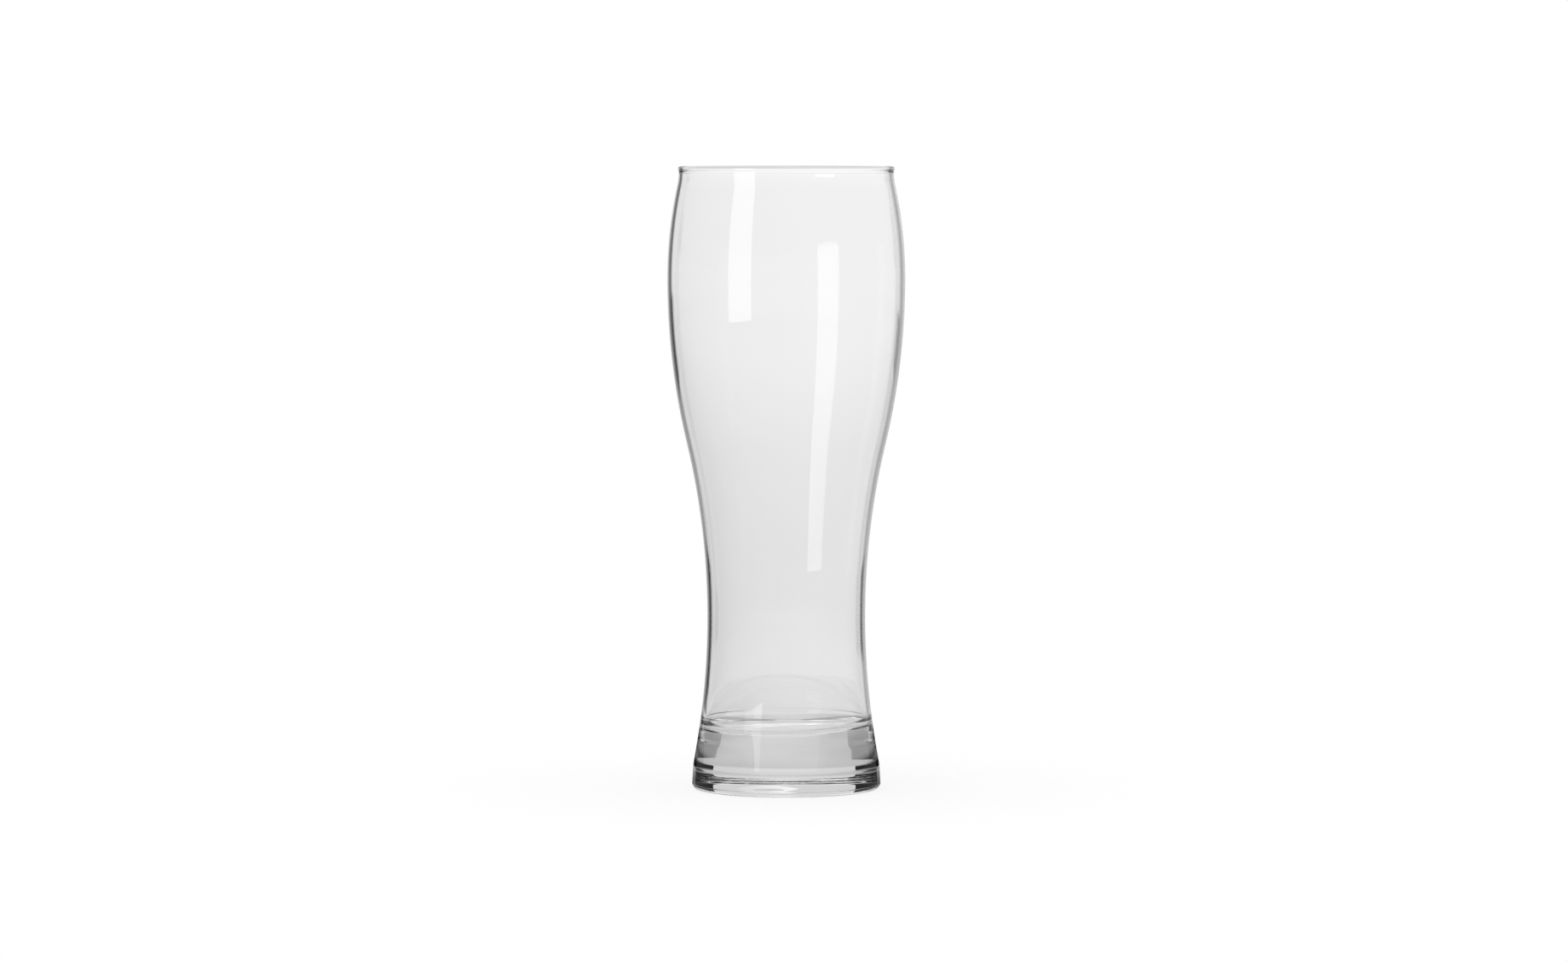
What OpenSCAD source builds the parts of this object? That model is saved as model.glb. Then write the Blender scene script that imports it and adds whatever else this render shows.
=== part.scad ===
// Tall waisted beer glass of clear glass: a heavy solid foot, a thin curved bowl and a rounded rim.
// Millimetres, +Z up. The origin is the middle of the face that the glass stands on.
// Each node is one half section, drawn in the first quadrant as [radius, height] and turned about Z.

/* [Outline] */
// Height of the glass from the ground to the top of the rim
total_h = 216; // [205:1:230]
// Outer diameter at the widest place of the belly
belly_d = 82.4; // [72:0.2:92]
// How far the outline draws in from the belly to the narrowest place under the rim, on each side
rim_inset = 4; // [2.5:0.25:7]
// Height of the widest place of the belly
belly_z = 177; // [160:1:190]
// Height where the round of the belly turns into the hollow of the waist
flow_z = 120; // [95:1:140]
// Outer diameter at the narrowest place of the waist
waist_d = 54.8; // [46:0.2:60]
// Height of the narrowest place of the waist
waist_z = 60; // [48:1:75]

/* [Foot] */
// Diameter at the crease where the flare of the waist meets the upright band of the foot
crease_d = 64.8; // [61.6:0.2:70]
// Height of the crease, which is the height of the upright band
band_h = 8.4; // [6:0.2:14]
// Diameter of the upright band carried down to the ground
foot_d = 65.7; // [64:0.1:70]
// Radius of the rounded heel between the band and the ground
heel_r = 2; // [1:0.1:3.5]
// Thickness of the solid base, from the ground to the inner floor
base_t = 20.5; // [15:0.5:26]
// Radius of the round corner between the inner floor and the wall
corner_r = 4.5; // [3:0.5:12]
// Diameter of the shallow hollow under the base
punt_d = 46; // [30:1:54]
// Height of the shallow hollow under the base
punt_h = 0.3; // [0.2:0.1:2]

/* [Wall] */
// Thickness of the wall under the rim
rim_wall = 1.1; // [0.8:0.1:1.4]
// Thickness of the wall at the belly
belly_wall = 1.3; // [0.8:0.1:3]
// Thickness of the wall at the waist
waist_wall = 1.5; // [0.8:0.1:4]

/* [Rim] */
// Diameter of the round bead along the rim
bead_d = 1.6; // [1.5:0.1:2.6]
// Height of the melted zone where the wall turns upright again and ends in the bead
rim_h = 5; // [4:0.5:8]

/* [Hidden] */
$fn = 360;

// Clear glass
glass_color = [0.90, 0.93, 0.94, 0.35];

// Outer radii
belly_r = belly_d / 2;
rim_r = belly_r - rim_inset;
waist_r = waist_d / 2;
crease_r = crease_d / 2;
foot_r = foot_d / 2;
punt_r = punt_d / 2;
bead_r = bead_d / 2;

// Radius of an arc that starts upright and steps sideways by step over the height run
function arc_radius(step, run) = (run * run + step * step) / (2 * step);

// Distance from the axis of a hollow arc, upright at radius r, at a height rise from its narrowest place
function dent_at(r, arc, rise) = r + arc - sqrt(arc * arc - rise * rise);

// Arcs that run into each other are carried on past the place where they meet and pressed together by a hair,
// so that they cross there and leave no step
hair = 0.001;
carry = 2;
carry_deg = 10;

// Flare from the waist out to the crease, and the middle that it shares with the wall's inner face
flare_arc = arc_radius(crease_r - waist_r, waist_z - band_h);
flare_mid = waist_r + flare_arc;

// Middle of the round corner inside the wall, and the place where the corner joins the wall's inner face
inner_flare_arc = flare_arc + waist_wall;
corner_z = base_t + corner_r;
corner_x = flare_mid - sqrt(pow(inner_flare_arc + corner_r - hair, 2) - pow(waist_z - corner_z, 2));
corner_part = corner_r / (inner_flare_arc + corner_r);
corner_end = [
    corner_x + (flare_mid - corner_x) * corner_part,
    corner_z + (waist_z - corner_z) * corner_part
];
corner_end_deg = atan2(waist_z - corner_z, flare_mid - corner_x);

// Middle of the rounded heel, which touches the ground and the sloping band
band_deg = atan2(foot_r - crease_r, band_h);
heel_x = foot_r - heel_r * tan(band_deg) - heel_r / cos(band_deg) + hair;
heel_top = heel_r + heel_r * sin(band_deg);
heel_end = [foot_r - heel_top * tan(band_deg), heel_top];

// Sphere that the shallow hollow under the base is part of
punt_arc = arc_radius(punt_h, punt_r);

// Flat faces where the foot ends and the bowl begins, and where the bowl ends and the rim begins.
// The lower one crosses the round corner part of the way up, so that no edge is thin.
corner_share = 0.3;
foot_top = base_t + corner_share * corner_r;
bowl_top = total_h - rim_h;

// Heights where the round of the shoulder turns into the hollow under the rim, and of its narrowest place
turn_share = 1.3;
lip_share = 0.4;
turn_z = total_h - turn_share * rim_h;
lip_z = total_h - lip_share * rim_h;

// Radius of the hollow under the rim on the face of the wall that goes from radius wide_r in to top_r
lip_part = (lip_z - turn_z) / (lip_z - belly_z);
function lip_arc(wide_r, top_r) = lip_part * arc_radius(wide_r - top_r, lip_z - belly_z);

// Middle of the bead, half-way through the wall
bead_z = total_h - bead_r;
bead_outer = dent_at(rim_r, lip_arc(belly_r, rim_r), bead_z - lip_z);
bead_inner = dent_at(rim_r - rim_wall, lip_arc(belly_r - belly_wall, rim_r - rim_wall), bead_z - lip_z);
bead_x = (bead_outer + bead_inner) / 2;

// Wider than any radius of the glass
reach = belly_d + foot_d;

// Band of the section between two heights, wider than the glass unless a width is given
module zone(low, high, width = reach) {
    translate([0, low]) square([width, high - low]);
}

// Disc that comes out as far as radius r at height z
module bulge(r, z, arc) {
    translate([r - arc, z]) circle(arc);
}

// Disc that comes in as far as radius r at height z
module dent(r, z, arc) {
    translate([r + arc, z]) circle(arc);
}

// Slice of a disc between two directions, counted from the outward one
module slice(middle, radius, from_deg, to_deg) {
    directions = [from_deg, (from_deg + to_deg) / 2, to_deg];
    wedge = [for (a = directions) 2 * radius * [cos(a), sin(a)]];
    translate(middle) intersection() {
        circle(radius);
        polygon(concat([[0, 0]], wedge));
    }
}

// Filled outline from the height low up to the top: five arcs, from the hollow under the rim down to the flare
module outline(top_r, wide_r, narrow_r, flare, low) {
    hollow_arc = lip_arc(wide_r, top_r);
    shoulder_arc = arc_radius(wide_r - top_r, lip_z - belly_z) - hollow_arc;
    crossing_shoulder = shoulder_arc + 2 * hair * pow(shoulder_arc / (turn_z - belly_z), 2);
    side_arc = arc_radius(wide_r - narrow_r, belly_z - waist_z);
    belly_arc = side_arc * (belly_z - flow_z) / (belly_z - waist_z);
    waist_arc = side_arc - belly_arc;
    crossing_belly = belly_arc + 2 * hair * pow(belly_arc / (belly_z - flow_z), 2);
    difference() {
        zone(turn_z, total_h, top_r + hollow_arc);
        dent(top_r, lip_z, hollow_arc);
    }
    intersection() {
        zone(belly_z, turn_z + carry);
        bulge(wide_r, belly_z, crossing_shoulder);
    }
    intersection() {
        zone(flow_z - carry, belly_z);
        bulge(wide_r, belly_z, crossing_belly);
    }
    difference() {
        zone(waist_z, flow_z);
        dent(narrow_r, waist_z, waist_arc);
    }
    difference() {
        zone(low, waist_z);
        dent(narrow_r, waist_z, flare);
    }
}

// Section of the glass as if it were solid
module outer_section() {
    outline(rim_r, belly_r, waist_r, flare_arc, band_h);
    polygon([[0, 0], [heel_x, 0], heel_end, [crease_r, band_h], [0, band_h]]);
    slice([heel_x, heel_r], heel_r, -90, band_deg + carry_deg);
}

// Section of the space inside the glass
module inner_section() {
    outline(rim_r - rim_wall, belly_r - belly_wall, waist_r - waist_wall, inner_flare_arc, corner_end[1]);
    polygon([[0, base_t], [corner_x, base_t], corner_end, [0, corner_end[1]]]);
    slice([corner_x, corner_z], corner_r, -90, corner_end_deg + carry_deg);
}

// Section of the shallow hollow under the base
module punt_section() {
    translate([0, punt_h - punt_arc]) circle(punt_arc);
}

// Section of the wall and the base between two heights
module wall_section(low, high) {
    difference() {
        intersection() {
            outer_section();
            zone(low, high);
        }
        inner_section();
    }
}

// Solid base with the upright band, the rounded heel, the shallow hollow below and the inner floor above
module foot() {
    color(glass_color) rotate_extrude() difference() {
        wall_section(0, foot_top);
        punt_section();
    }
}

// Thin wall from the foot through the waist and the belly
module bowl() {
    color(glass_color) rotate_extrude() wall_section(foot_top, bowl_top);
}

// Top of the wall, turned upright and rounded into a bead
module rim() {
    color(glass_color) rotate_extrude() {
        wall_section(bowl_top, bead_z);
        translate([bead_x, bead_z]) circle(bead_r);
    }
}

foot();
bowl();
rim();
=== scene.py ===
"""Clear waisted beer glass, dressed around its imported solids, on a pale table in soft studio light."""
import math

import bmesh
import bpy
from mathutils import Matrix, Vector


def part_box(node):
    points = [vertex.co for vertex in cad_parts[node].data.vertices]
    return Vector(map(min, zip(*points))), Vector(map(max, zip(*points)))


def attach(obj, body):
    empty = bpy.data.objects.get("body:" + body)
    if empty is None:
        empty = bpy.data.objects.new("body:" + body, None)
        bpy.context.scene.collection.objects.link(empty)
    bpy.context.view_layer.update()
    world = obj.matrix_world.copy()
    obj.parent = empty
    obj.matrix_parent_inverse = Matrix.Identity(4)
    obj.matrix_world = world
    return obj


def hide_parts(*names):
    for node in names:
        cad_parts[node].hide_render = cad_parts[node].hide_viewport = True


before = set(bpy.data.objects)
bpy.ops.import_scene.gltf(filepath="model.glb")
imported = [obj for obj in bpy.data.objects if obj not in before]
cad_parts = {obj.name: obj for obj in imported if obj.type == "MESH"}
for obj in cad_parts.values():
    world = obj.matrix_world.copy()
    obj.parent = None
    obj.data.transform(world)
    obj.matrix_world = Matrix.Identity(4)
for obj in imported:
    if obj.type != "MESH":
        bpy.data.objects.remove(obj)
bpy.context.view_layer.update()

MM = 0.001

# Sizes of the glass, in metres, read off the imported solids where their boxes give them
GROUND_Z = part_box("foot")[0].z
TOTAL_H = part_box("rim")[1].z
BELLY_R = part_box("bowl")[1].x

# Sizes of the outline that no box gives
RIM_INSET = 4 * MM
RIM_R = BELLY_R - RIM_INSET
LIP_Z = TOTAL_H - 2 * MM
TURN_Z = TOTAL_H - 6.5 * MM
BELLY_Z = 177 * MM
FLOW_Z = 120 * MM
WAIST_R = 27.4 * MM
WAIST_Z = 60 * MM
CREASE_R = 32.4 * MM
BAND_H = 8.4 * MM
FOOT_R = 32.85 * MM
HEEL_R = 2 * MM
BASE_T = 20.5 * MM
CORNER_R = 4.5 * MM
PUNT_R = 23 * MM
PUNT_H = 0.3 * MM
RIM_WALL = 1.1 * MM
BELLY_WALL = 1.3 * MM
WAIST_WALL = 1.5 * MM
BEAD_R = 0.8 * MM
BEAD_FROM_DEG = -20
BEAD_TO_DEG = 200
NECK_DROP = 2.4 * BEAD_R

# Lean of the inner floor, left side down, and the height above it where the lean has faded out
FLOOR_LEAN_DEG = 1.7
LEAN_REACH = 9 * MM

# Round dimple pressed into the underside, a little left of the middle
DIMPLE_X = -4.4 * MM
DIMPLE_R = 7.6 * MM
DIMPLE_DEPTH = 1.2 * MM

# Fineness of the mesh
STEP = 1.2 * MM
FINE_STEP = 0.2 * MM
BEND_STEP = 0.1
SEGMENTS = 256


def arc_radius(step, run):
    """Radius of an arc that starts upright and steps sideways by step over the height run."""
    return (run * run + step * step) / (2 * step)


def bulge_at(r, arc, rise):
    """Radius of the glass on an arc that is widest, at r, a height rise away."""
    return r - arc + math.sqrt(arc * arc - rise * rise)


def dent_at(r, arc, rise):
    """Radius of the glass on an arc that is narrowest, at r, a height rise away."""
    return r + arc - math.sqrt(arc * arc - rise * rise)


def side_radius(z, top_r, wide_r, narrow_r, flare_arc):
    """Radius of the outer or inner face of the wall at height z."""
    rise_arc = arc_radius(wide_r - top_r, LIP_Z - BELLY_Z)
    lip_arc = rise_arc * (LIP_Z - TURN_Z) / (LIP_Z - BELLY_Z)
    if z >= TURN_Z:
        return dent_at(top_r, lip_arc, z - LIP_Z)
    if z >= BELLY_Z:
        return bulge_at(wide_r, rise_arc - lip_arc, z - BELLY_Z)
    side_arc = arc_radius(wide_r - narrow_r, BELLY_Z - WAIST_Z)
    belly_arc = side_arc * (BELLY_Z - FLOW_Z) / (BELLY_Z - WAIST_Z)
    if z >= FLOW_Z:
        return bulge_at(wide_r, belly_arc, BELLY_Z - z)
    if z >= WAIST_Z:
        return dent_at(narrow_r, side_arc - belly_arc, z - WAIST_Z)
    return dent_at(narrow_r, flare_arc, WAIST_Z - z)


def steps(start, end, step):
    """Evenly spaced values from start to end, both included, no further apart than step."""
    count = max(1, math.ceil(abs(end - start) / step))
    return [start + (end - start) * i / count for i in range(count + 1)]


def smooth_step(t):
    """Goes smoothly from 0 to 1 as t does, and stays there beyond."""
    t = min(1, max(0, t))
    return t * t * (3 - 2 * t)


def arc_points(middle, radius, from_deg, to_deg, step):
    """Points on an arc, as [radius, height] pairs."""
    turn = math.degrees(step / radius)
    angles = [math.radians(a) for a in steps(from_deg, to_deg, turn)]
    return [(middle[0] + radius * math.cos(a), middle[1] + radius * math.sin(a)) for a in angles]


def bent_points(start, corner, end):
    """Points on a curve that leaves start towards the corner and arrives at end from it."""
    points = []
    for t in steps(0, 1, BEND_STEP):
        weights = ((1 - t) ** 2, 2 * t * (1 - t), t**2)
        r = sum(w * p[0] for w, p in zip(weights, (start, corner, end)))
        z = sum(w * p[1] for w, p in zip(weights, (start, corner, end)))
        points.append((r, z))
    return points


def glass_profile():
    """Half section of the glass, from the middle of the underside round to the middle of the inner floor."""
    flare_arc = arc_radius(CREASE_R - WAIST_R, WAIST_Z - BAND_H)
    inner_flare = flare_arc + WAIST_WALL
    flare_mid = WAIST_R + flare_arc
    outer = (RIM_R, BELLY_R, WAIST_R, flare_arc)
    inner = (RIM_R - RIM_WALL, BELLY_R - BELLY_WALL, WAIST_R - WAIST_WALL, inner_flare)

    # Shallow hollow under the base, finer where the dimple is, bearing ring and rounded heel
    punt_arc = arc_radius(PUNT_H, PUNT_R)
    dimple_end = DIMPLE_R + abs(DIMPLE_X) + STEP
    punt = steps(0, dimple_end, FINE_STEP) + steps(dimple_end, PUNT_R, STEP)[1:]
    points = [(r, PUNT_H - punt_arc + math.sqrt(punt_arc**2 - r * r)) for r in punt]
    band_deg = math.degrees(math.atan2(FOOT_R - CREASE_R, BAND_H))
    band_turn = math.radians(band_deg)
    heel_x = FOOT_R - HEEL_R * math.tan(band_turn) - HEEL_R / math.cos(band_turn)
    points += [(r, 0.0) for r in steps(PUNT_R, heel_x, STEP)[1:-1]]
    points += arc_points((heel_x, HEEL_R), HEEL_R, -90, band_deg, FINE_STEP)

    # Upright band up to the crease
    heel_r, heel_z = points[-1]
    band = steps(0, 1, STEP / BAND_H)
    points += [(heel_r + (CREASE_R - heel_r) * t, heel_z + (BAND_H - heel_z) * t) for t in band[1:]]

    # Outer face of the wall, bead and inner face of the wall
    bead_z = TOTAL_H - BEAD_R
    bead_mid = (side_radius(bead_z, *outer) + side_radius(bead_z, *inner)) / 2
    bead = arc_points((bead_mid, bead_z), BEAD_R, BEAD_FROM_DEG, BEAD_TO_DEG, FINE_STEP)
    neck_z = bead_z - NECK_DROP
    meet_z = bead_z - BEAD_R
    outer_neck = (side_radius(neck_z, *outer), neck_z)
    outer_meet = (side_radius(meet_z, *outer), meet_z)
    inner_neck = (side_radius(neck_z, *inner), neck_z)
    inner_meet = (side_radius(meet_z, *inner), meet_z)
    points += [(side_radius(z, *outer), z) for z in steps(BAND_H, neck_z, STEP)[1:-1]]
    points += bent_points(outer_neck, outer_meet, bead[0])
    points += bead[1:-1]
    points += bent_points(bead[-1], inner_meet, inner_neck)
    corner_z = BASE_T + CORNER_R
    reach = inner_flare + CORNER_R
    corner_x = flare_mid - math.sqrt(reach**2 - (WAIST_Z - corner_z) ** 2)
    corner_deg = math.degrees(math.atan2(WAIST_Z - corner_z, flare_mid - corner_x))
    corner_end = corner_z + CORNER_R * math.sin(math.radians(corner_deg))
    points += [(side_radius(z, *inner), z) for z in steps(neck_z, corner_end, STEP)[1:-1]]

    # Round corner and inner floor
    points += arc_points((corner_x, corner_z), CORNER_R, corner_deg, -90, 2 * FINE_STEP)
    points += [(r, BASE_T) for r in steps(corner_x, 0, STEP)[1:]]
    return points


def floor_lean(x, z):
    """Height that a place of the inner face gains or loses by the lean of the floor."""
    fade = smooth_step(1 - (z - BASE_T) / LEAN_REACH)
    return x * math.tan(math.radians(FLOOR_LEAN_DEG)) * fade


def dimple_rise(x, y):
    """Height that a place of the underside gains where the round dimple is pressed in."""
    outward = math.hypot(x - DIMPLE_X, y) / DIMPLE_R
    return DIMPLE_DEPTH * max(0, 1 - outward * outward)


def turned_mesh(name, profile):
    """Closed mesh made by turning the half section, which starts and ends on the axis, about Z."""
    bm = bmesh.new()
    top = profile.index(max(profile, key=lambda point: point[1]))

    def corner(i, turn):
        r, z = profile[i]
        x, y = r * math.cos(turn), r * math.sin(turn)
        shift = floor_lean(x, z) if i > top else dimple_rise(x, y)
        return bm.verts.new((x, y, z + shift))

    turns = [2 * math.pi * i / SEGMENTS for i in range(SEGMENTS)]
    rings = [[corner(i, turn) for turn in turns] for i in range(1, len(profile) - 1)]
    first = corner(0, 0)
    last = corner(len(profile) - 1, 0)
    for i in range(SEGMENTS):
        j = (i + 1) % SEGMENTS
        bm.faces.new((first, rings[0][j], rings[0][i]))
        for low, high in zip(rings, rings[1:]):
            bm.faces.new((low[i], low[j], high[j], high[i]))
        bm.faces.new((last, rings[-1][i], rings[-1][j]))
    for face in bm.faces:
        face.smooth = True
    mesh = bpy.data.meshes.new(name)
    bm.to_mesh(mesh)
    bm.free()
    return mesh


def add_object(name, mesh, material):
    """Links a mesh with one material into the scene."""
    mesh.materials.append(material)
    obj = bpy.data.objects.new(name, mesh)
    bpy.context.scene.collection.objects.link(obj)
    return obj


def node_tree(owner):
    """Empty node tree of a material or world."""
    owner.use_nodes = True
    owner.node_tree.nodes.clear()
    return owner.node_tree


def feed(tree, sockets, values):
    """Gives each socket its value, which is another socket or a number."""
    for socket, value in zip(sockets, values):
        if isinstance(value, bpy.types.NodeSocket):
            tree.links.new(value, socket)
        else:
            socket.default_value = value


def math_node(tree, operation, *values):
    """Output of a Math node fed with sockets or numbers."""
    node = tree.nodes.new("ShaderNodeMath")
    node.operation = operation
    feed(tree, node.inputs, values)
    return node.outputs["Value"]


def product(tree, first, *others):
    """All the values multiplied together."""
    for other in others:
        first = math_node(tree, "MULTIPLY", first, other)
    return first


def mix_values(tree, share, first, second):
    """First value where share is 0, second where it is 1."""
    node = tree.nodes.new("ShaderNodeMix")
    node.data_type = "FLOAT"
    feed(tree, (node.inputs[0], node.inputs[2], node.inputs[3]), (share, first, second))
    return node.outputs[0]


def mix_shaders(tree, share, first, second):
    """First shader where share is 0, second where it is 1."""
    node = tree.nodes.new("ShaderNodeMixShader")
    feed(tree, node.inputs, (share, first, second))
    return node.outputs["Shader"]


def between(tree, value, low, high, at_low=0.0, at_high=1.0, smooth=True):
    """Goes from at_low to at_high as the value goes from low to high, and stays there beyond."""
    node = tree.nodes.new("ShaderNodeMapRange")
    node.interpolation_type = "SMOOTHSTEP" if smooth else "LINEAR"
    feed(tree, node.inputs, (value, low, high, at_low, at_high))
    return node.outputs["Result"]


def ramp(tree, value, stops):
    """Follows the stops, which are pairs of value and level, in straight lines between them."""
    low, high = stops[0][0], stops[-1][0]
    node = tree.nodes.new("ShaderNodeValToRGB")
    elements = node.color_ramp.elements
    while len(elements) < len(stops):
        elements.new(1.0)
    for element, (at, level) in zip(elements, stops):
        element.position = (at - low) / (high - low)
        element.color = (level, level, level, 1)
    tree.links.new(between(tree, value, low, high, smooth=False), node.inputs["Fac"])
    return node.outputs["Color"]


def place_parts(tree, output):
    """Place on an object or direction into the world: the whole of it and its X, Y and Z."""
    place = tree.nodes.new("ShaderNodeTexCoord").outputs[output]
    split = tree.nodes.new("ShaderNodeSeparateXYZ")
    tree.links.new(place, split.inputs["Vector"])
    return place, split.outputs["X"], split.outputs["Y"], split.outputs["Z"]


def axis_distance(tree, x, y):
    """Distance from the glass's axis."""
    squares = math_node(tree, "ADD", product(tree, x, x), product(tree, y, y))
    return math_node(tree, "SQRT", squares)


def noise(tree, place, size):
    """Cloudy noise from 0 to 1 whose patches are about as large as size."""
    node = tree.nodes.new("ShaderNodeTexNoise")
    node.inputs["Scale"].default_value = 1 / size
    node.inputs["Detail"].default_value = 2
    tree.links.new(place, node.inputs["Vector"])
    return node.outputs[0]


# The glass, and the stippling and scuffs on the ring that it stands on: where the ring begins and ends
GLASS_IOR = 1.5
RING_INNER_R = 24 * MM
RING_FULL_R = 26 * MM
RING_FULL_Z = 0.6 * MM
RING_TOP_Z = 1.0 * MM
STIPPLE_SIZE = 1.3 * MM
STIPPLE_HEIGHT = 0.06 * MM
SCUFF_ROUGHNESS = 0.25


def glass_material():
    """Clear colourless glass with a stippled, scuffed bearing ring."""
    material = bpy.data.materials.new("clear_glass")
    tree = node_tree(material)
    output = tree.nodes.new("ShaderNodeOutputMaterial")
    place, x, y, z = place_parts(tree, "Object")
    outward = between(tree, axis_distance(tree, x, y), RING_INNER_R, RING_FULL_R)
    ring = product(tree, outward, between(tree, z, RING_FULL_Z, RING_TOP_Z, 1.0, 0.0))
    stipple = noise(tree, place, STIPPLE_SIZE)

    bump = tree.nodes.new("ShaderNodeBump")
    bump.inputs["Strength"].default_value = 1.0
    bump.inputs["Distance"].default_value = 1.0
    tree.links.new(product(tree, ring, stipple, STIPPLE_HEIGHT), bump.inputs["Height"])

    shader = tree.nodes.new("ShaderNodeBsdfPrincipled")
    shader.inputs["Base Color"].default_value = (1, 1, 1, 1)
    shader.inputs["IOR"].default_value = GLASS_IOR
    shader.inputs["Transmission Weight"].default_value = 1.0
    tree.links.new(product(tree, ring, stipple, SCUFF_ROUGHNESS), shader.inputs["Roughness"])
    tree.links.new(bump.outputs["Normal"], shader.inputs["Normal"])
    tree.links.new(shader.outputs["BSDF"], output.inputs["Surface"])
    return material


# The backdrop, its flags and the shading of the table are turned a little to the right of the camera
SET_TURN_DEG = 2.5

# Brightness of the backdrop, and of the room in front of the glass, against the sine of the elevation
BACKDROP = [
    (-1.0, 0.742), (-0.14, 0.742), (-0.1, 0.78), (-0.0845, 0.79), (-0.0755, 0.745), (-0.0696, 0.755),
    (-0.050, 0.82), (-0.039, 0.87), (-0.021, 0.875), (-0.004, 0.925), (0.03, 0.93), (0.1, 0.95), (1.0, 0.95),
]
FRONT = [(-1.0, 0.755), (-0.14, 0.755), (-0.09, 0.95), (1.0, 0.95)]
FRONT_FROM_DEG = 90
FRONT_FULL_DEG = 150

# Share of that brightness that is lost against the direction to either side, in degrees,
# and how much of this is left above the given sines of the elevation
SIDE_SHADE = [
    (0, 0.0), (2, 0.0), (5.3, 0.08), (8.6, 0.2), (12, 0.26), (20, 0.28), (30, 0.1), (45, 0.0), (180, 0.0),
]
SHADE_FULL = -0.06
SHADE_LESS = -0.02
SHADE_LEFT = 0.8

# Two tall dark flags behind the glass, at its left and right: where they begin and end, the sines of their
# lower and upper edges, how soft the edges are, and their brightness
FLAG_START_DEG = 18.5
FLAG_END_DEG = 33
FLAG_SOFT_DEG = 0.8
FLAG_LOW = -0.21
FLAG_TOP = 0.12
FLAG_SOFT = 0.03
LEFT_FLAG = [(-1.0, 0.33), (-0.115, 0.33), (-0.095, 0.19), (1.0, 0.17)]
RIGHT_FLAG = 0.42

# Black strip over the outer edge of each flag, low down, described in the same way
STRIP_START_DEG = 27.5
STRIP_END_DEG = 37
STRIP_SOFT_DEG = 0.7
STRIP_SOFT = 0.006
STRIP_LOW = -0.116
STRIP_TOP_LEFT = -0.037
STRIP_TOP_RIGHT = -0.058

BLACK = 0.01


def within(tree, value, low, high, soft):
    """1 where the value is between two limits and 0 elsewhere, with soft edges."""
    past_low = between(tree, value, low - soft, low + soft)
    short_of_high = between(tree, math_node(tree, "SUBTRACT", value, high), -soft, soft, 1.0, 0.0)
    return product(tree, past_low, short_of_high)


def side_angle(tree, x, y):
    """Direction from the glass, in degrees to the right of the middle of the set behind it."""
    turn = math_node(tree, "DEGREES", math_node(tree, "ARCTAN2", x, y))
    return math_node(tree, "SUBTRACT", turn, SET_TURN_DEG)


def studio_world():
    """White for the camera and for the light on the table; for glass, the backdrop and its flags."""
    world = bpy.data.worlds.new("studio")
    bpy.context.scene.world = world
    tree = node_tree(world)
    output = tree.nodes.new("ShaderNodeOutputWorld")
    _, x, y, height = place_parts(tree, "Generated")
    turn = side_angle(tree, x, y)
    side = math_node(tree, "ABSOLUTE", turn)
    right = math_node(tree, "GREATER_THAN", turn, 0.0)

    front = between(tree, side, FRONT_FROM_DEG, FRONT_FULL_DEG)
    backdrop = mix_values(tree, front, ramp(tree, height, BACKDROP), ramp(tree, height, FRONT))
    shade_left = between(tree, height, SHADE_FULL, SHADE_LESS, 1.0, SHADE_LEFT)
    shade = product(tree, ramp(tree, side, SIDE_SHADE), shade_left)
    backdrop = product(tree, backdrop, math_node(tree, "SUBTRACT", 1.0, shade))

    flag = within(tree, side, FLAG_START_DEG, FLAG_END_DEG, FLAG_SOFT_DEG)
    flag = product(tree, flag, within(tree, height, FLAG_LOW, FLAG_TOP, FLAG_SOFT))
    flag_level = mix_values(tree, right, ramp(tree, height, LEFT_FLAG), RIGHT_FLAG)
    shown = mix_values(tree, flag, backdrop, flag_level)

    strip_top = mix_values(tree, right, STRIP_TOP_LEFT, STRIP_TOP_RIGHT)
    strip = within(tree, side, STRIP_START_DEG, STRIP_END_DEG, STRIP_SOFT_DEG)
    strip = product(tree, strip, within(tree, height, STRIP_LOW, strip_top, STRIP_SOFT))
    shown = mix_values(tree, strip, shown, BLACK)

    path = tree.nodes.new("ShaderNodeLightPath")
    in_glass = math_node(tree, "MAXIMUM", path.outputs["Is Glossy Ray"], path.outputs["Is Transmission Ray"])
    background = tree.nodes.new("ShaderNodeBackground")
    background.inputs["Color"].default_value = (1, 1, 1, 1)
    tree.links.new(mix_values(tree, in_glass, 1.0, shown), background.inputs["Strength"])
    tree.links.new(background.outputs["Background"], output.inputs["Surface"])


# The table's edge is nearer at the left than at the right, and its top lies a hair below the glass
TABLE_R = 440 * MM
TABLE_X = 80 * MM
TABLE_DROP = 0.02 * MM
TABLE_SEGMENTS = 128

# Colour of the table against the distance from the glass, in metres; it is darker near the glass, which is
# painted shade
TABLE_SHADED_COLOR = [(0.05, 0.66), (0.2, 0.67), (0.43, 0.745), (0.6, 0.745)]
TABLE_SHADE = 0.5

# Shaded patches behind the foot, to either side of a light wedge: where the wedge starts, how it widens and
# leans, its least half width and its soft edge, the direction where the patches end, and the share of shade
# against the distance from the glass in metres
WEDGE_Y = 41 * MM
WEDGE_SLOPE = 0.75
WEDGE_LEAN = 0.0227
WEDGE_LEAST = 3 * MM
WEDGE_SOFT = 1 * MM
PATCH_FADE_DEG = 73
PATCH_END_DEG = 75
PATCH_SHADE = [(0.0, 0.96), (0.0405, 0.96), (0.044, 0.45), (0.06, 0.4), (0.085, 0.0), (1.0, 0.0)]

# Patch of the table under the foot, and its brightness in the glass. The patch glows though no lamp lights
# it: painted light
UNDER_R = 33.6 * MM
UNDER_SOFT = 0.2 * MM
UNDER_GLOW_LEVEL = 0.62

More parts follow.
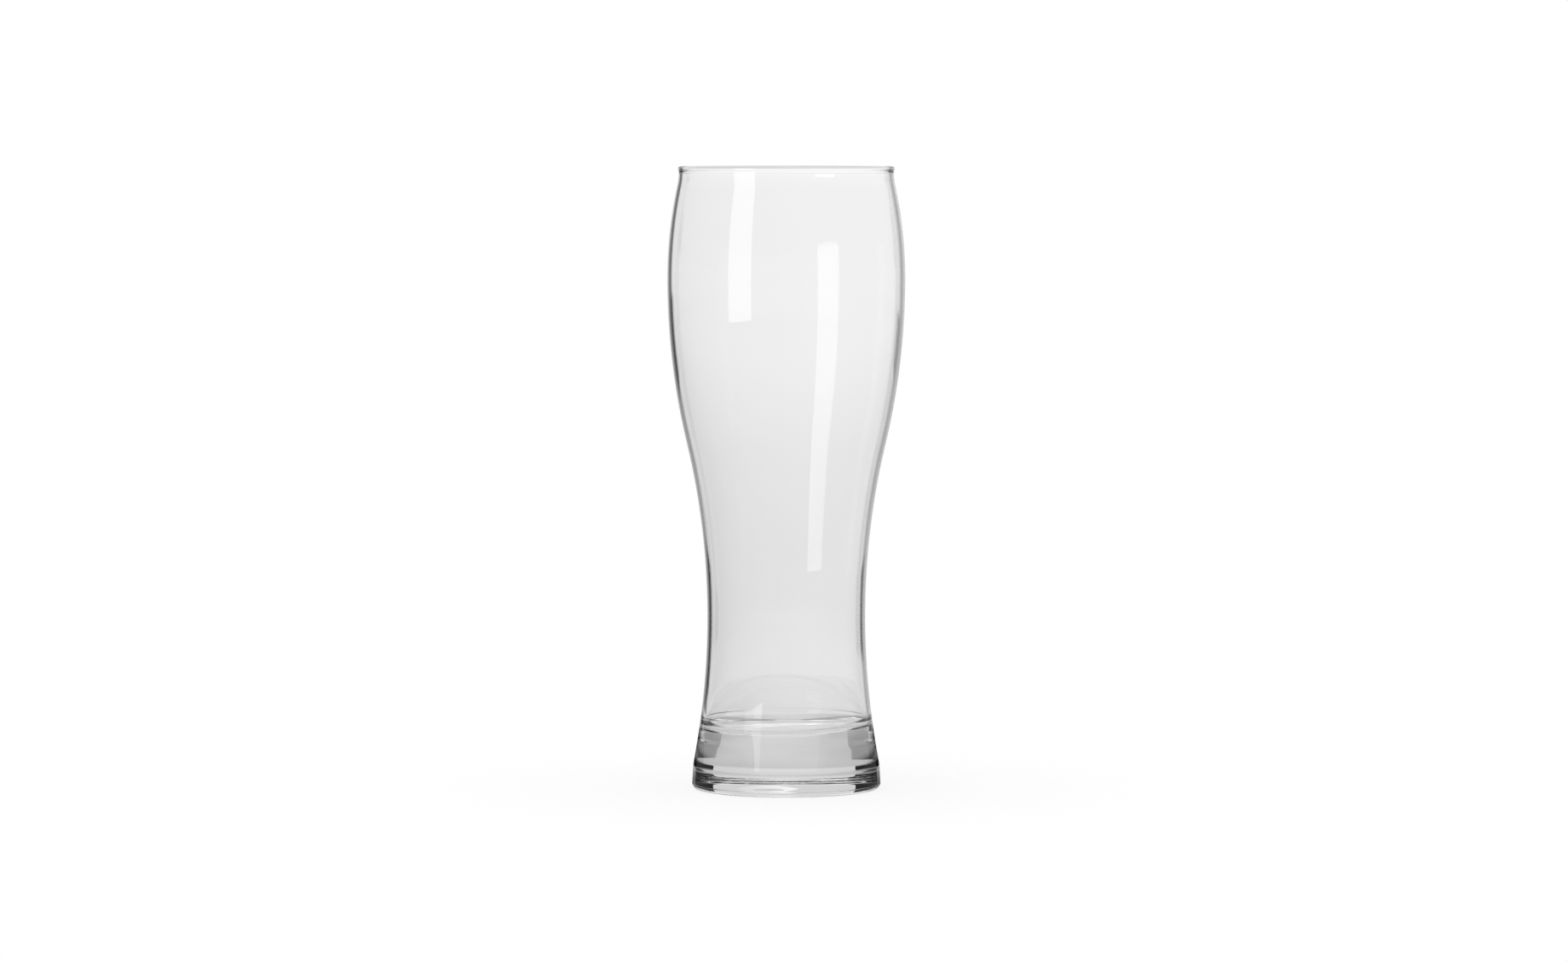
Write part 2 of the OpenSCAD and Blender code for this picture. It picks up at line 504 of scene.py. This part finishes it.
# What the camera sees of the table: paper that takes the shadow, and more plain white away from the glass
PAPER_COLOR = (0.9, 0.9, 0.9, 1)
WHITE_FROM = 40 * MM
WHITE_FULL = 160 * MM
WHITE_LEAST = 0.8


def table_material():
    """Pale matt table: white for the camera with a soft shadow; in the glass a little grey, with painted
    shade near the foot and to the sides and a glowing patch of painted light under the foot.
    """
    material = bpy.data.materials.new("pale_table")
    tree = node_tree(material)
    output = tree.nodes.new("ShaderNodeOutputMaterial")
    _, x, y, _ = place_parts(tree, "Object")
    away = axis_distance(tree, x, y)
    side = math_node(tree, "ABSOLUTE", side_angle(tree, x, y))
    shade = product(tree, ramp(tree, side, SIDE_SHADE), TABLE_SHADE)
    light = math_node(tree, "SUBTRACT", 1.0, shade)
    behind = math_node(tree, "SUBTRACT", y, WEDGE_Y)
    wedge = math_node(tree, "MAXIMUM", product(tree, behind, WEDGE_SLOPE), WEDGE_LEAST)
    sideways = math_node(tree, "ABSOLUTE", math_node(tree, "SUBTRACT", x, product(tree, y, WEDGE_LEAN)))
    patch = between(tree, math_node(tree, "SUBTRACT", sideways, wedge), 0.0, WEDGE_SOFT)
    patch = product(tree, patch, between(tree, side, PATCH_FADE_DEG, PATCH_END_DEG, 1.0, 0.0))
    patch = product(tree, patch, ramp(tree, away, PATCH_SHADE))
    light = product(tree, light, math_node(tree, "SUBTRACT", 1.0, patch))

    matt = tree.nodes.new("ShaderNodeBsdfDiffuse")
    # The matt colour carries painted shade: darker near the glass, to the sides and in the patches behind
    # the foot
    tree.links.new(product(tree, ramp(tree, away, TABLE_SHADED_COLOR), light), matt.inputs["Color"])
    # Patch under the foot that glows: painted light for what shows of the table through the foot
    under = tree.nodes.new("ShaderNodeEmission")
    under.inputs["Strength"].default_value = UNDER_GLOW_LEVEL
    past_under = between(tree, away, UNDER_R - UNDER_SOFT, UNDER_R + UNDER_SOFT)
    table = mix_shaders(tree, past_under, under.outputs["Emission"], matt.outputs["BSDF"])

    paper = tree.nodes.new("ShaderNodeBsdfDiffuse")
    paper.inputs["Color"].default_value = PAPER_COLOR
    glow = tree.nodes.new("ShaderNodeEmission")
    glow.inputs["Strength"].default_value = 1.0
    white_share = between(tree, away, WHITE_FROM, WHITE_FULL, WHITE_LEAST, 1.0)
    seen = mix_shaders(tree, white_share, paper.outputs["BSDF"], glow.outputs["Emission"])

    path = tree.nodes.new("ShaderNodeLightPath")
    tree.links.new(mix_shaders(tree, path.outputs["Is Camera Ray"], table, seen), output.inputs["Surface"])
    return material


def studio_table():
    """Round table under the glass."""
    bm = bmesh.new()
    bmesh.ops.create_circle(bm, cap_ends=True, segments=TABLE_SEGMENTS, radius=TABLE_R)
    bmesh.ops.translate(bm, verts=bm.verts, vec=(TABLE_X, 0, 0))
    mesh = bpy.data.meshes.new("table")
    bm.to_mesh(mesh)
    bm.free()
    table = add_object("table", mesh, table_material())
    table.location.z = GROUND_Z - TABLE_DROP


# Sheets of card round the foot that only the glass shows: brightness, then the lower and the upper edge.
# They glow at their brightness with no lamp on them; the black and grey ones are painted shade round the
# foot and the pale ones painted light.
# Each edge is bent round the axis and written as radius, height and the two directions where it ends;
# straight behind is 0 degrees. The slanting ones have a pale sheet above, so they are dark only from below.
PALE = 0.68
DARK_GREY = 0.12
GREY = 0.3
SHEET_GAP = 0.05 * MM
SHEET_STEPS = 60
UPRIGHT_SHEETS = [
    ("back", PALE, (80 * MM, 0, -17.7, 20.3), (80 * MM, 18 * MM, -17.7, 20.3)),
    ("ring", DARK_GREY, (45 * MM, 0, 75, 285), (45 * MM, 11 * MM, 75, 285)),
]
SLANTING_SHEETS = [
    ("back_left", BLACK, (129 * MM, 0, -75, -24), (62 * MM, 18 * MM, -75, -11.8)),
    ("back_right", BLACK, (129 * MM, 0, 26.6, 75), (62 * MM, 18 * MM, 14.4, 75)),
    ("left", GREY, (135 * MM, 0, -150, -75), (40 * MM, 23.5 * MM, -150, -75)),
    ("right", GREY, (135 * MM, 0, 75, 150), (40 * MM, 23.5 * MM, 75, 150)),
]


def glowing_card_material(name, level):
    """Card that glows evenly at one brightness with no lamp lighting it: painted shade when dark, painted
    light when pale.
    """
    material = bpy.data.materials.new(name)
    tree = node_tree(material)
    output = tree.nodes.new("ShaderNodeOutputMaterial")
    shader = tree.nodes.new("ShaderNodeEmission")
    shader.inputs["Strength"].default_value = level
    tree.links.new(shader.outputs["Emission"], output.inputs["Surface"])
    return material


def edge_points(edge, lift):
    """Points along one edge of a sheet."""
    radius, height, from_deg, to_deg = edge
    points = []
    for i in range(SHEET_STEPS + 1):
        turn = math.radians(from_deg + (to_deg - from_deg) * i / SHEET_STEPS)
        points.append((radius * math.sin(turn), radius * math.cos(turn), GROUND_Z + height + lift))
    return points


def sheet(name, level, low, high, lift=0.0):
    """One glowing sheet of card, at the brightness it is given."""
    bm = bmesh.new()
    low_verts = [bm.verts.new(point) for point in edge_points(low, lift)]
    high_verts = [bm.verts.new(point) for point in edge_points(high, lift)]
    for here in range(SHEET_STEPS):
        there = here + 1
        bm.faces.new((low_verts[here], low_verts[there], high_verts[there], high_verts[here]))
    mesh = bpy.data.meshes.new(name)
    bm.to_mesh(mesh)
    bm.free()
    card = add_object(name, mesh, glowing_card_material(name, level))
    card.visible_camera = False
    card.visible_diffuse = False
    card.visible_shadow = False


def studio_sheets():
    """All the glowing sheets of card round the foot: painted shade and painted light that only the glass
    shows.
    """
    for name, level, low, high in UPRIGHT_SHEETS:
        sheet("card_" + name, level, low, high)
    for name, level, low, high in SLANTING_SHEETS:
        sheet("card_" + name, level, low, high)
        sheet("card_top_" + name, PALE, low, high, SHEET_GAP)


# Softbox, in metres, and its direction from the glass
SOFTBOX_W = 0.24
SOFTBOX_H = 0.42
SOFTBOX_Z = 0.30
SOFTBOX_AWAY = 0.58
SOFTBOX_TURN_DEG = 45
SOFTBOX_RADIANCE = 1.4


def softbox():
    """Upright strip of light to the left of the camera, which shows as the long highlights."""
    light = bpy.data.lights.new("softbox", "AREA")
    light.shape = "RECTANGLE"
    light.size = SOFTBOX_W
    light.size_y = SOFTBOX_H
    light.energy = SOFTBOX_RADIANCE * math.pi * light.size * light.size_y
    lamp = bpy.data.objects.new("softbox", light)
    bpy.context.scene.collection.objects.link(lamp)
    turn = math.radians(SOFTBOX_TURN_DEG)
    lamp.location = (-SOFTBOX_AWAY * math.sin(turn), -SOFTBOX_AWAY * math.cos(turn), SOFTBOX_Z)
    aim = Vector((0, 0, lamp.location.z)) - lamp.location
    lamp.rotation_euler = aim.to_track_quat("-Z", "Y").to_euler()


# Camera of the photograph
LENS_MM = 136.2
SENSOR_MM = 36
CAMERA_PLACE = (-0.8 * MM, -2.054, 0.2249)
CAMERA_PITCH_DEG = 3.2829
CAMERA_REACH = 50


def photo_camera():
    """Long lens, a little above the rim, as the photograph was taken."""
    data = bpy.data.cameras.new("camera")
    data.lens = LENS_MM
    data.sensor_width = SENSOR_MM
    camera = bpy.data.objects.new("camera", data)
    bpy.context.scene.collection.objects.link(camera)
    camera.location = CAMERA_PLACE
    pitch = math.radians(CAMERA_PITCH_DEG)
    camera.rotation_euler = (math.pi / 2 - pitch, 0, 0)
    data.clip_end = CAMERA_REACH
    bpy.context.scene.camera = camera


photo_camera()
studio_world()
studio_table()
studio_sheets()
softbox()
glass = add_object("glass", turned_mesh("glass", glass_profile()), glass_material())
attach(glass, "root")
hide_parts("foot", "bowl", "rim")

bpy.context.scene.view_settings.view_transform = "Standard"
